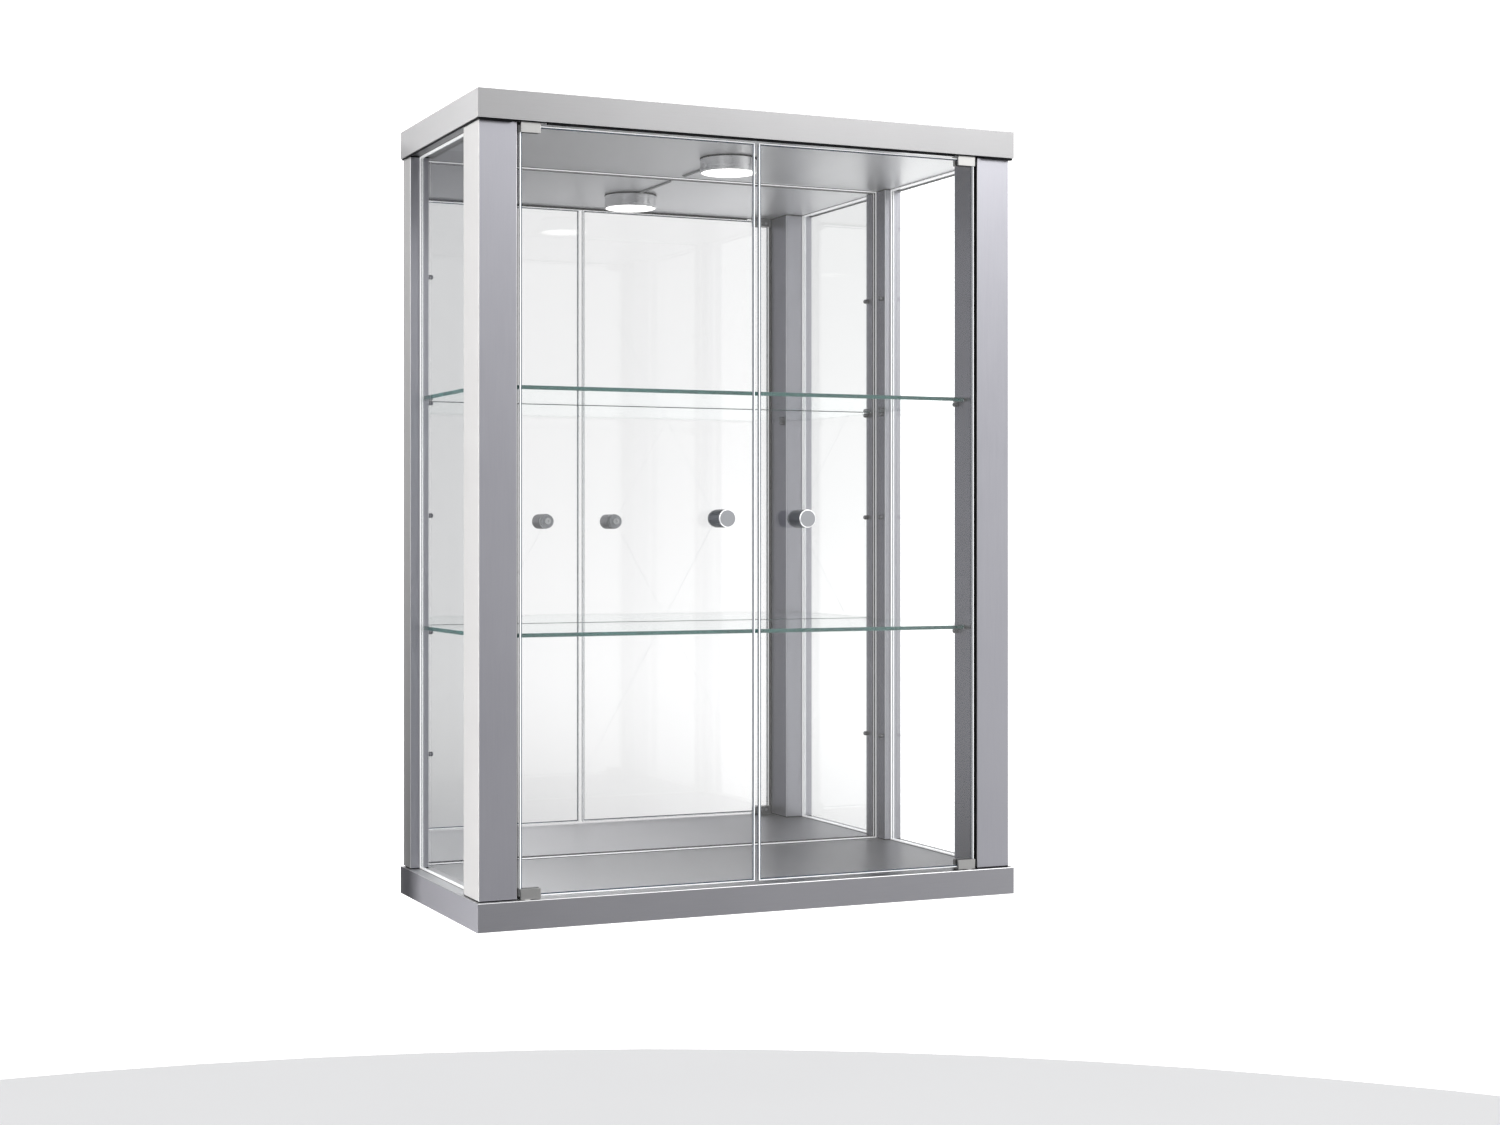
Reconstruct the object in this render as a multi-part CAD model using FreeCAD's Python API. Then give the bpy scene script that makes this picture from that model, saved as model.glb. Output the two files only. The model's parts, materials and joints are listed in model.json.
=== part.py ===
"""Wall-hung glass showcase: two boards, four posts, glass sides, a mirror back and two glass doors.

Millimetres. +X runs to the viewer's right, +Y into the wall, +Z up. The origin lies on the wall
plane, midway between the round entries of the two keyhole hangers in the top board.
"""
import FreeCAD, Part
import math
import os

# Carcass
WIDTH = 590.0            # boards, side to side
DEPTH = 260.0            # boards, front edge to wall
HEIGHT = 800.0           # outside of the bottom board to outside of the top board
BOARD = 28.0             # board thickness
HANGER_DROP = 14.0       # keyhole entry below the outside of the top board
EDGE_ROUND = 0.6         # broken edge of the foil-wrapped boards and posts

# Posts
POST_SIDE_STEP = 3.0     # boards stand out past the posts at the sides
POST_FRONT_STEP = 6.0    # boards stand out past the front posts
FRONT_POST_W = 38.0
FRONT_POST_D = 48.0
REAR_POST_W = 23.0
REAR_POST_D = 26.0
SHADOW_GAP = 1.2         # recessed joint between post end and board
SHADOW_STEP = 1.5        # depth of that recess

# Glass sides
GLASS = 4.0
SIDE_GLASS_INSET = 14.0  # side glass behind the boards' side edge
GROOVE_DEPTH = 6.0
SEAL = 0.5               # lip thickness of the U seal round the side glass

# Mirror back
MIRROR = 4.0
PANEL = 2.0
REBATE_HEIGHT = 6.0      # rebate in the boards that takes mirror and panel
MIRROR_POST_LAP = 7.5    # mirror laps behind the rear posts
PANEL_FLANGE = 7.0       # outer lip of the rear post that covers the panel's edge
FIT_GAP = 0.5            # loose fit of panes and panels in their rebates
PANEL_SCREW_ROWS = (100.0, 300.0, 500.0, 700.0)

# Corner fasteners
DOWEL_R = 3.0
DOWEL_HALF = 12.0
SCREW_R = 2.5
SCREW_LENGTH = 50.0
SCREW_HEAD_R = 5.0
SCREW_HEAD_H = 4.0
CAP_R = 6.0
CAP_H = 2.5

# Keyhole hangers
HANGER_SPACING = 480.0
HANGER_PLATE_W = 46.0
HANGER_PLATE_H = 18.0
HANGER_PLATE_T = 2.0
KEYHOLE_ENTRY_R = 4.5
KEYHOLE_NECK_R = 2.25
KEYHOLE_RISE = 7.0
HANGER_POCKET = 14.0     # depth of the pocket behind the plate
HANGER_SCREW_OFFSET = 17.0

# Shelves
SHELF_ROWS = (275.0, 515.0)           # pin rows that carry a shelf, above the bottom
SPARE_ROWS = (147.0, 397.0, 647.0)    # rear pin rows that carry none
PIN_R = 2.5
PIN_REACH = 6.0
PIN_SINK = 7.0
FRONT_PIN_Y = 47.0       # pin rows behind the boards' front edge
REAR_PIN_Y = 239.0
SHELF_FRONT = 30.0
SHELF_REAR = 250.0
SHELF_SIDE_GAP = 1.5
SHELF_NOTCH_R = 2.0
SHELF_LIFT = 0.05        # clearance over the pins

# Doors
DOOR_SET_BACK = 7.0      # door glass behind the boards' front edge
DOOR_SIDE_GAP = 3.0
DOOR_MIDDLE_GAP = 4.0
DOOR_TOP_GAP = 3.0
DOOR_BOTTOM_GAP = 2.6

# Hinge clamps
CLAMP_W = 21.0
CLAMP_H = 10.0
CLAMP_FRONT = 2.2        # front jaw
CLAMP_REAR = 4.8         # rear jaw, which holds the set screws
PAD_FRONT = 0.4
PAD_REAR = 0.8
CLAMP_GAP = 0.5          # clamp to board
PIVOT_IN = 7.0           # pivot axis from the clamp's outer end
PIVOT_R = 2.5
PIVOT_RUN = 0.05         # radial running clearance in the bush
PIVOT_LENGTH = 9.0       # pin inside the board
BUSH_R = 4.0
BUSH_LENGTH = 10.0
BUSH_FLANGE_R = 5.0
BUSH_FLANGE_H = 0.4
SET_SCREW_R = 2.0
SET_SCREW_OFFSETS = (6.0, 15.0)
SET_SCREW_LENGTH = 4.4
SET_SCREW_HEX = 2.0

# Knobs
KNOB_R = 9.0
KNOB_LENGTH = 25.0
KNOB_CHAMFER = 0.8
KNOB_X = 44.0            # from the middle of the showcase
KNOB_Z = 393.0
KNOB_HOLE_R = 3.5
KNOB_WASHER_R = 8.0
KNOB_WASHER_H = 0.5
KNOB_BACK_H = 1.6
KNOB_SCREW_R = 2.0
KNOB_SCREW_GRIP = 9.0
KNOB_HEAD_R = 4.0
KNOB_HEAD_H = 2.6

# Lamp
LAMP_X = 20.0
LAMP_Y = 120.0
LAMP_R = 30.0
LAMP_HEIGHT = 15.5
LAMP_BASE_R = 27.0
LAMP_BASE_H = 1.2
LAMP_WALL = 1.5
LAMP_LENS_H = 2.4
LAMP_LENS_RECESS = 0.5
LED_BOARD_R = 25.0
LED_BOARD_H = 1.6
LED_SIZE = 3.0
LED_HEIGHT = 0.8
LED_COUNT = 12
LED_RING_R = 15.0
LAMP_SCREW_R = 1.75
LAMP_SCREW_X = 18.0

# Lamp lead
LEAD_R = 1.2
LEAD_CLEAR = 0.4
LEAD_START = 20.0        # from the lamp's axis
LEAD_BEND_R = 10.0
LEAD_BEND_DEG = 75.0
LEAD_DIVE = 234.0        # where the lead starts to rise into the top board
PLUG_W = 12.0
PLUG_H = 8.0

# Places worked out from the sizes above
TOP = HANGER_DROP
BOTTOM = TOP - HEIGHT
CEILING = TOP - BOARD
FLOOR = BOTTOM + BOARD
FRONT = -DEPTH
SIDE = WIDTH / 2
FRONT_POST_X = SIDE - POST_SIDE_STEP - FRONT_POST_W    # inner face of a front post
REAR_POST_X = SIDE - POST_SIDE_STEP - REAR_POST_W      # inner face of a rear post
FRONT_POST_Y = FRONT + POST_FRONT_STEP
FRONT_POST_BACK = FRONT_POST_Y + FRONT_POST_D
REAR_POST_Y = -REAR_POST_D
SIDE_GLASS_X = SIDE - SIDE_GLASS_INSET
GROOVE_X = SIDE_GLASS_X + SEAL
GROOVE_W = GLASS + 2 * SEAL
DOOR_Y = FRONT + DOOR_SET_BACK
DOOR_OUTER_X = FRONT_POST_X - DOOR_SIDE_GAP
PIVOT_X = DOOR_OUTER_X - PIVOT_IN
PIVOT_Y = DOOR_Y + GLASS / 2
MIRROR_Y = -PANEL - MIRROR
SIDES = {"left": -1, "right": 1}


def box(x0, x1, y0, y1, z0, z1):
    """A block between two corners, given in any order."""
    low = FreeCAD.Vector(min(x0, x1), min(y0, y1), min(z0, z1))
    return Part.makeBox(abs(x1 - x0), abs(y1 - y0), abs(z1 - z0), low)


def rod(x, y, z, r, length, axis):
    """A cylinder that starts at a point and runs along an axis."""
    return Part.makeCylinder(r, length, FreeCAD.Vector(x, y, z), FreeCAD.Vector(*axis))


def above_bottom(height):
    return BOTTOM + height


def behind_front(distance):
    return FRONT + distance


def fuse(shapes):
    return shapes[0].multiFuse(shapes[1:]).removeSplitter()


def round_long_edges(shape, axis, radius):
    """Breaks the outer edges of a bar or board that run along one axis for its whole length."""
    size = shape.BoundBox
    low = FreeCAD.Vector(size.XMin, size.YMin, size.ZMin)
    high = FreeCAD.Vector(size.XMax, size.YMax, size.ZMax)
    full = abs((high - low).dot(axis))
    others = [v for v in ((1, 0, 0), (0, 1, 0), (0, 0, 1)) if abs(FreeCAD.Vector(*v).dot(axis)) < 0.5]
    edges = []
    for edge in shape.Edges:
        middle = edge.CenterOfMass
        outer = all(
            min(abs((middle - low).dot(FreeCAD.Vector(*v))), abs((high - middle).dot(FreeCAD.Vector(*v)))) < 0.01
            for v in others)
        if outer and abs(edge.Length - full) < 0.01:
            edges.append(edge)
    return shape.makeFillet(radius, edges)


def corner_places():
    """The four post centres' screw and dowel places: (screw x, dowel x, y)."""
    places = []
    front_y = FRONT_POST_Y + FRONT_POST_D / 2 - 2.0
    rear_y = REAR_POST_Y + REAR_POST_D / 2
    for side in SIDES.values():
        places.append((side * (SIDE - 14.0), side * (SIDE - 31.0), front_y))
        places.append((side * (SIDE - 9.0), side * (SIDE - 20.0), rear_y))
    return places


# ---------------------------------------------------------------- carcass

def board(outer_z, inner_z):
    """A top or bottom board with everything that is routed or drilled in both."""
    up = 1 if outer_z > inner_z else -1
    body = box(-SIDE, SIDE, FRONT, 0, outer_z, inner_z)
    body = round_long_edges(body, FreeCAD.Vector(1, 0, 0), EDGE_ROUND)
    cuts = [box(-SIDE + POST_SIDE_STEP + PANEL_FLANGE, SIDE - POST_SIDE_STEP - PANEL_FLANGE,
                MIRROR_Y, 1.0, inner_z - up, inner_z + up * REBATE_HEIGHT)]
    for side in SIDES.values():
        cuts.append(box(side * GROOVE_X, side * (GROOVE_X - GROOVE_W),
                        FRONT_POST_BACK - GROOVE_DEPTH, REAR_POST_Y + GROOVE_DEPTH,
                        inner_z - up, inner_z + up * GROOVE_DEPTH))
        cuts.append(rod(side * PIVOT_X, PIVOT_Y, inner_z - up, BUSH_R, BUSH_LENGTH + 1, (0, 0, up)))
    for screw_x, dowel_x, y in corner_places():
        cuts.append(rod(screw_x, y, inner_z - up, SCREW_R, BOARD, (0, 0, up)))
        cuts.append(rod(screw_x, y, outer_z + up, SCREW_HEAD_R, 1 + CAP_H + SCREW_HEAD_H, (0, 0, -up)))
        cuts.append(rod(screw_x, y, outer_z + up, CAP_R, 1 + CAP_H, (0, 0, -up)))
        cuts.append(rod(dowel_x, y, inner_z - up, DOWEL_R, DOWEL_HALF + 1, (0, 0, up)))
    return body.cut(cuts)


def top_board():
    """The board shared with the bottom, plus hanger pockets, lead channel and lamp screw holes."""
    cuts = []
    for side in SIDES.values():
        x = side * HANGER_SPACING / 2
        half = HANGER_PLATE_W / 2
        low = hanger_plate_low()
        cuts.append(box(x - half, x + half, -HANGER_PLATE_T, 1, low, low + HANGER_PLATE_H))
        cuts.append(rod(x, 1, 0, KEYHOLE_ENTRY_R + 0.5, HANGER_POCKET + 1, (0, -1, 0)))
        cuts.append(rod(x, 1, KEYHOLE_RISE, KEYHOLE_ENTRY_R, HANGER_POCKET + 1, (0, -1, 0)))
        cuts.append(box(x - KEYHOLE_ENTRY_R, x + KEYHOLE_ENTRY_R, -HANGER_POCKET, 1, 0, KEYHOLE_RISE))
        for step in (-HANGER_SCREW_OFFSET, HANGER_SCREW_OFFSET):
            cuts.append(hanger_screw(x + step))
    cuts.append(lead_tube(LEAD_R + LEAD_CLEAR))
    cuts.append(lead_socket_block(0.3, 1.0))
    cuts.extend(lamp_screw(side) for side in SIDES.values())
    return board(TOP, CEILING).cut(cuts)


def bottom_board():
    return board(BOTTOM, FLOOR)


def with_end_recess(post, x0, x1, y0, y1):
    """Turns down both ends of a post, so that a dark line shows between it and the boards."""
    rings = []
    for z, up in ((CEILING, -1), (FLOOR, 1)):
        ring = box(x0 - 1, x1 + 1, y0 - 1, y1 + 1, z, z + up * SHADOW_GAP)
        core = box(x0 + SHADOW_STEP, x1 - SHADOW_STEP, y0 + SHADOW_STEP, y1 - SHADOW_STEP,
                   z, z + up * SHADOW_GAP)
        rings.append(ring.cut(core))
    return post.cut(rings)


def post_end_holes(post_y):
    """Screw and dowel holes in both ends of the posts that stand at a depth."""
    cuts = []
    for screw_x, dowel_x, y in corner_places():
        if abs(y - post_y) < FRONT_POST_D / 2:
            for z, up in ((CEILING, -1), (FLOOR, 1)):
                cuts.append(rod(screw_x, y, z - up, SCREW_R, 1 + SCREW_LENGTH - BOARD + CAP_H, (0, 0, up)))
                cuts.append(rod(dowel_x, y, z - up, DOWEL_R, 1 + DOWEL_HALF, (0, 0, up)))
    return cuts


def front_post(side):
    outer = side * (SIDE - POST_SIDE_STEP)
    inner = side * FRONT_POST_X
    post = box(outer, inner, FRONT_POST_Y, FRONT_POST_BACK, FLOOR, CEILING)
    post = round_long_edges(post, FreeCAD.Vector(0, 0, 1), EDGE_ROUND)
    post = with_end_recess(post, min(outer, inner), max(outer, inner), FRONT_POST_Y, FRONT_POST_BACK)
    cuts = [box(side * GROOVE_X, side * (GROOVE_X - GROOVE_W),
                FRONT_POST_BACK - GROOVE_DEPTH, FRONT_POST_BACK + 1, FLOOR - 1, CEILING + 1)]
    cuts += post_end_holes(FRONT_POST_Y + FRONT_POST_D / 2)
    cuts += [pin_hole(side, FRONT_POST_X, FRONT_PIN_Y, row) for row in SHELF_ROWS]
    return post.cut(cuts)


def rear_post(side):
    outer = side * (SIDE - POST_SIDE_STEP)
    inner = side * REAR_POST_X
    post = box(outer, inner, REAR_POST_Y, 0, FLOOR, CEILING)
    post = round_long_edges(post, FreeCAD.Vector(0, 0, 1), EDGE_ROUND)
    post = with_end_recess(post, min(outer, inner), max(outer, inner), REAR_POST_Y, 0)
    panel_edge = side * (SIDE - POST_SIDE_STEP - PANEL_FLANGE)
    mirror_edge = side * (REAR_POST_X + MIRROR_POST_LAP)
    beyond = inner - side
    cuts = [
        box(side * GROOVE_X, side * (GROOVE_X - GROOVE_W),
            REAR_POST_Y - 1, REAR_POST_Y + GROOVE_DEPTH, FLOOR - 1, CEILING + 1),
        box(panel_edge, beyond, -PANEL, 1, FLOOR - 1, CEILING + 1),
        box(mirror_edge, beyond, MIRROR_Y, 1, FLOOR - 1, CEILING + 1)]
    cuts += post_end_holes(REAR_POST_Y + REAR_POST_D / 2)
    cuts += [pin_hole(side, REAR_POST_X, REAR_PIN_Y, row) for row in SHELF_ROWS + SPARE_ROWS]
    cuts += [panel_screw(side, row) for row in PANEL_SCREW_ROWS]
    return post.cut(cuts)


def side_glass(side):
    x = side * SIDE_GLASS_X
    return box(x, x - side * GLASS,
               FRONT_POST_BACK - GROOVE_DEPTH + SEAL, REAR_POST_Y + GROOVE_DEPTH - SEAL,
               FLOOR - GROOVE_DEPTH + SEAL, CEILING + GROOVE_DEPTH - SEAL)


def side_glass_seals(side):
    """U profiles round the pane's four edges, one in each post and board groove."""
    outer = side * GROOVE_X
    inner = side * (GROOVE_X - GROOVE_W)
    pane = side_glass(side)
    strips = [
        box(outer, inner, FRONT_POST_BACK - GROOVE_DEPTH, FRONT_POST_BACK, FLOOR, CEILING),
        box(outer, inner, REAR_POST_Y, REAR_POST_Y + GROOVE_DEPTH, FLOOR, CEILING),
        box(outer, inner, FRONT_POST_BACK, REAR_POST_Y, FLOOR - GROOVE_DEPTH, FLOOR),
        box(outer, inner, FRONT_POST_BACK, REAR_POST_Y, CEILING, CEILING + GROOVE_DEPTH)]
    return Part.makeCompound([strip.cut(pane) for strip in strips])


def mirror():
    half = REAR_POST_X + MIRROR_POST_LAP - FIT_GAP
    edge = REBATE_HEIGHT - FIT_GAP
    return box(-half, half, MIRROR_Y, -PANEL, FLOOR - edge, CEILING + edge)


def back_panel():
    half = SIDE - POST_SIDE_STEP - PANEL_FLANGE - FIT_GAP
    edge = REBATE_HEIGHT - FIT_GAP
    panel = box(-half, half, -PANEL, 0, FLOOR - edge, CEILING + edge)
    return panel.cut([panel_screw(side, row) for side in SIDES.values() for row in PANEL_SCREW_ROWS])


def panel_screw(side, row):
    """A small countersunk screw through the back panel's edge into a rear post."""
    x = side * (SIDE - POST_SIDE_STEP - PANEL_FLANGE - 4.25)
    z = above_bottom(row)
    head = Part.makeCone(2.8, 1.5, 1.5, FreeCAD.Vector(x, 0, z), FreeCAD.Vector(0, -1, 0))
    return head.fuse(rod(x, 0, z, 1.5, 12.0, (0, -1, 0)))


def corner_screws():
    screws = []
    for x, _, y in corner_places():
        for z, up in ((TOP - CAP_H, -1), (BOTTOM + CAP_H, 1)):
            head = rod(x, y, z, SCREW_HEAD_R, SCREW_HEAD_H, (0, 0, up))
            shank = rod(x, y, z, SCREW_R, SCREW_LENGTH, (0, 0, up))
            socket = rod(x, y, z, 2.3, 2.5, (0, 0, up))
            screws.append(head.fuse(shank).cut(socket))
    return Part.makeCompound(screws)


def corner_dowels():
    dowels = []
    for _, x, y in corner_places():
        for z in (CEILING, FLOOR):
            dowels.append(rod(x, y, z - DOWEL_HALF, DOWEL_R, 2 * DOWEL_HALF, (0, 0, 1)))
    return Part.makeCompound(dowels)


def screw_caps():
    caps = []
    for x, _, y in corner_places():
        for z, up in ((TOP, -1), (BOTTOM, 1)):
            caps.append(rod(x, y, z, CAP_R, CAP_H, (0, 0, up)))
    return Part.makeCompound(caps)


# ---------------------------------------------------------------- keyhole hangers

def hanger_plate_low():
    """Lower edge of the hanger plate, which is centred on its keyhole."""
    middle = (KEYHOLE_RISE + KEYHOLE_NECK_R - KEYHOLE_ENTRY_R) / 2
    return middle - HANGER_PLATE_H / 2


def hanger_screw(x):
    z = hanger_plate_low() + HANGER_PLATE_H / 2
    head = Part.makeCone(3.2, 1.6, 1.8, FreeCAD.Vector(x, 0, z), FreeCAD.Vector(0, -1, 0))
    return head.fuse(rod(x, 0, z, 1.6, 16.0, (0, -1, 0)))


def wall_hanger(side):
    """Steel plate let into the rear edge of the top board, with a keyhole for a wall screw."""
    x = side * HANGER_SPACING / 2
    half = HANGER_PLATE_W / 2
    low = hanger_plate_low()
    plate = box(x - half, x + half, -HANGER_PLATE_T, 0, low, low + HANGER_PLATE_H)
    neck = box(x - KEYHOLE_NECK_R, x + KEYHOLE_NECK_R, -HANGER_PLATE_T - 1, 1, 0, KEYHOLE_RISE)
    cuts = [rod(x, 1, 0, KEYHOLE_ENTRY_R, HANGER_PLATE_T + 2, (0, -1, 0)), neck,
            rod(x, 1, KEYHOLE_RISE, KEYHOLE_NECK_R, HANGER_PLATE_T + 2, (0, -1, 0))]
    cuts += [hanger_screw(x + step) for step in (-HANGER_SCREW_OFFSET, HANGER_SCREW_OFFSET)]
    return plate.cut(cuts)


def wall_hanger_screws():
    screws = []
    for side in SIDES.values():
        for step in (-HANGER_SCREW_OFFSET, HANGER_SCREW_OFFSET):
            screws.append(hanger_screw(side * HANGER_SPACING / 2 + step))
    return Part.makeCompound(screws)


# ---------------------------------------------------------------- shelves

def pin_hole(side, face_x, depth, row):
    """Blind hole in a post's inner face."""
    start = side * (face_x - 1)
    return rod(start, behind_front(depth), above_bottom(row), PIN_R, PIN_SINK + 1, (side, 0, 0))


def shelf_pin(side, face_x, depth, row):
    """Round pin with a domed tip."""
    tip = side * (face_x - PIN_REACH)
    pin = rod(tip, behind_front(depth), above_bottom(row), PIN_R, PIN_REACH + PIN_SINK, (side, 0, 0))
    rim = [edge for edge in pin.Edges
           if abs(edge.CenterOfMass.x - tip) < 0.01 and edge.Length > PIN_R]
    return pin.makeFillet(PIN_R * 0.7, rim)


def shelf_pins():
    pins = []
    for side in SIDES.values():
        pins += [shelf_pin(side, FRONT_POST_X, FRONT_PIN_Y, row) for row in SHELF_ROWS]
        pins += [shelf_pin(side, REAR_POST_X, REAR_PIN_Y, row) for row in SHELF_ROWS + SPARE_ROWS]
    return Part.makeCompound(pins)


def shelf(row):
    """Glass shelf between the side panes, notched round all four posts."""
    low = above_bottom(row) + PIN_R + SHELF_LIFT
    wide = SIDE_GLASS_X - GLASS - SHELF_SIDE_GAP
    pane = box(-wide, wide, behind_front(SHELF_FRONT), behind_front(SHELF_REAR), low, low + GLASS)
    notches = []
    for side in SIDES.values():
        notches.append(box(side * (FRONT_POST_X - SHELF_SIDE_GAP), side * SIDE,
                           FRONT, FRONT_POST_BACK + SHELF_SIDE_GAP, low - 1, low + GLASS + 1))
        notches.append(box(side * (REAR_POST_X - SHELF_SIDE_GAP), side * SIDE,
                           REAR_POST_Y - SHELF_SIDE_GAP, 0, low - 1, low + GLASS + 1))
    pane = pane.cut(notches)
    uprights = [edge for edge in pane.Edges
                if edge.BoundBox.ZLength > GLASS / 2 and edge.BoundBox.XLength < 0.01]
    return pane.makeFillet(SHELF_NOTCH_R, uprights)


# ---------------------------------------------------------------- doors

def door_span():
    return FLOOR + DOOR_BOTTOM_GAP, CEILING - DOOR_TOP_GAP


def door_glass(side):
    low, high = door_span()
    pane = box(side * DOOR_MIDDLE_GAP / 2, side * DOOR_OUTER_X, DOOR_Y, DOOR_Y + GLASS, low, high)
    hole = rod(side * KNOB_X, DOOR_Y - 1, above_bottom(KNOB_Z), KNOB_HOLE_R, GLASS + 2, (0, 1, 0))
    return pane.cut(hole)


def clamp_ends(at_top):
    """Outer end, web's inner face and jaws' open end of a clamp, along Z."""
    low, high = door_span()
    if at_top:
        outer = CEILING - CLAMP_GAP
        return outer, high + 0.2, outer - CLAMP_H
    outer = FLOOR + CLAMP_GAP
    return outer, low - 0.2, outer + CLAMP_H


def hinge_clamp(side, at_top):
    """U-shaped clamp over the glass edge at a door's outer corner."""
    outer_z, web_z, open_z = clamp_ends(at_top)
    x0 = side * DOOR_OUTER_X
    x1 = side * (DOOR_OUTER_X - CLAMP_W)
    front = DOOR_Y - PAD_FRONT - CLAMP_FRONT
    back = DOOR_Y + GLASS + PAD_REAR + CLAMP_REAR
    clamp = box(x0, x1, front, back, outer_z, open_z)
    clamp = clamp.makeFillet(0.8, [edge for edge in clamp.Edges if edge.BoundBox.ZLength > CLAMP_H / 2])
    beyond = open_z + (open_z - outer_z)
    cuts = [box(side * (DOOR_OUTER_X + 1), side * (DOOR_OUTER_X - CLAMP_W - 1),
                DOOR_Y - PAD_FRONT, DOOR_Y + GLASS + PAD_REAR, web_z, beyond),
            hinge_pin(side, at_top)]
    for offset in SET_SCREW_OFFSETS:
        cuts.append(rod(side * (DOOR_OUTER_X - offset), back + 1, set_screw_z(at_top),
                        SET_SCREW_R, CLAMP_REAR + 1.5, (0, -1, 0)))
    return clamp.cut(cuts)


def set_screw_z(at_top):
    _, web_z, open_z = clamp_ends(at_top)
    return (web_z + open_z) / 2


def hinge_pin(side, at_top):
    """Pivot pin riveted in the clamp's web; it turns in the bush of the board."""
    _, web_z, _ = clamp_ends(at_top)
    up = 1 if at_top else -1
    board_z = CEILING if at_top else FLOOR
    return rod(side * PIVOT_X, PIVOT_Y, web_z, PIVOT_R, abs(board_z - web_z) + PIVOT_LENGTH, (0, 0, up))


def hinge_pins(side):
    return Part.makeCompound([hinge_pin(side, at_top) for at_top in (True, False)])


def hinge_bushes(side):
    """Nylon bushes in the boards; the lower one has a thin flange that carries the door."""
    x = side * PIVOT_X
    upper = rod(x, PIVOT_Y, CEILING, BUSH_R, BUSH_LENGTH, (0, 0, 1))
    upper = upper.cut(rod(x, PIVOT_Y, CEILING - 1, PIVOT_R + PIVOT_RUN, BUSH_LENGTH + 2, (0, 0, 1)))
    lower = rod(x, PIVOT_Y, FLOOR - BUSH_LENGTH, BUSH_R, BUSH_LENGTH, (0, 0, 1))
    lower = lower.fuse(rod(x, PIVOT_Y, FLOOR, BUSH_FLANGE_R, BUSH_FLANGE_H, (0, 0, 1)))
    lower = lower.cut(rod(x, PIVOT_Y, FLOOR - BUSH_LENGTH - 1, PIVOT_R + PIVOT_RUN,
                          BUSH_LENGTH + 3, (0, 0, 1)))
    return Part.makeCompound([upper, lower])


def hinge_pads(side):
    """Thin liners that keep the clamps' metal off the glass, two in each clamp."""
    pads = []
    x0 = side * (DOOR_OUTER_X - 1)
    x1 = side * (DOOR_OUTER_X - CLAMP_W + 1)
    for at_top in (True, False):
        _, web_z, open_z = clamp_ends(at_top)
        low, high = door_span()
        edge = min(web_z, high) if at_top else max(web_z, low)
        pads.append(box(x0, x1, DOOR_Y - PAD_FRONT, DOOR_Y, edge, open_z))
        pads.append(box(x0, x1, DOOR_Y + GLASS, DOOR_Y + GLASS + PAD_REAR, edge, open_z))
    return Part.makeCompound(pads)


def hinge_set_screws(side):
    screws = []
    tip = DOOR_Y + GLASS + PAD_REAR
    for at_top in (True, False):
        z = set_screw_z(at_top)
        for offset in SET_SCREW_OFFSETS:
            x = side * (DOOR_OUTER_X - offset)
            screw = rod(x, tip, z, SET_SCREW_R, SET_SCREW_LENGTH, (0, 1, 0))
            screws.append(screw.cut(hex_socket(x, tip + SET_SCREW_LENGTH, z, SET_SCREW_HEX, 2.0)))
    return Part.makeCompound(screws)


def hex_socket(x, y, z, across, deep):
    """Hexagonal recess that opens towards +Y."""
    corner = across / math.sqrt(3)
    points = []
    for step in range(7):
        angle = math.radians(60 * step)
        points.append(FreeCAD.Vector(x + corner * math.cos(angle), y, z + corner * math.sin(angle)))
    face = Part.Face(Part.makePolygon(points))
    return face.extrude(FreeCAD.Vector(0, -deep, 0))


# ---------------------------------------------------------------- knobs

def knob(side):
    """Solid turned knob with a bright chamfer and a tapped hole in its base."""
    base = DOOR_Y - KNOB_WASHER_H
    z = above_bottom(KNOB_Z)
    body = rod(side * KNOB_X, base, z, KNOB_R, KNOB_LENGTH, (0, -1, 0))
    rim = [edge for edge in body.Edges
           if abs(edge.CenterOfMass.y - (base - KNOB_LENGTH)) < 0.01 and edge.Length > KNOB_R]
    body = body.makeChamfer(KNOB_CHAMFER, rim)
    return body.cut(rod(side * KNOB_X, base + 1, z, KNOB_SCREW_R, KNOB_SCREW_GRIP + 2, (0, -1, 0)))


def ring(x, y, z, outer, inner, length, axis):
    return rod(x, y, z, outer, length, axis).cut(rod(x, y, z, inner, length, axis))


def knob_washers(side):
    """Clear plastic washers on both faces of the door glass."""
    z = above_bottom(KNOB_Z)
    x = side * KNOB_X
    front = ring(x, DOOR_Y, z, KNOB_WASHER_R, KNOB_SCREW_R + 0.2, KNOB_WASHER_H, (0, -1, 0))
    back = ring(x, DOOR_Y + GLASS, z, KNOB_WASHER_R, KNOB_SCREW_R + 0.2, KNOB_WASHER_H, (0, 1, 0))
    return Part.makeCompound([front, back])


def knob_backplate(side):
    return ring(side * KNOB_X, DOOR_Y + GLASS + KNOB_WASHER_H, above_bottom(KNOB_Z),
                KNOB_WASHER_R, KNOB_SCREW_R + 0.2, KNOB_BACK_H, (0, 1, 0))


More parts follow.
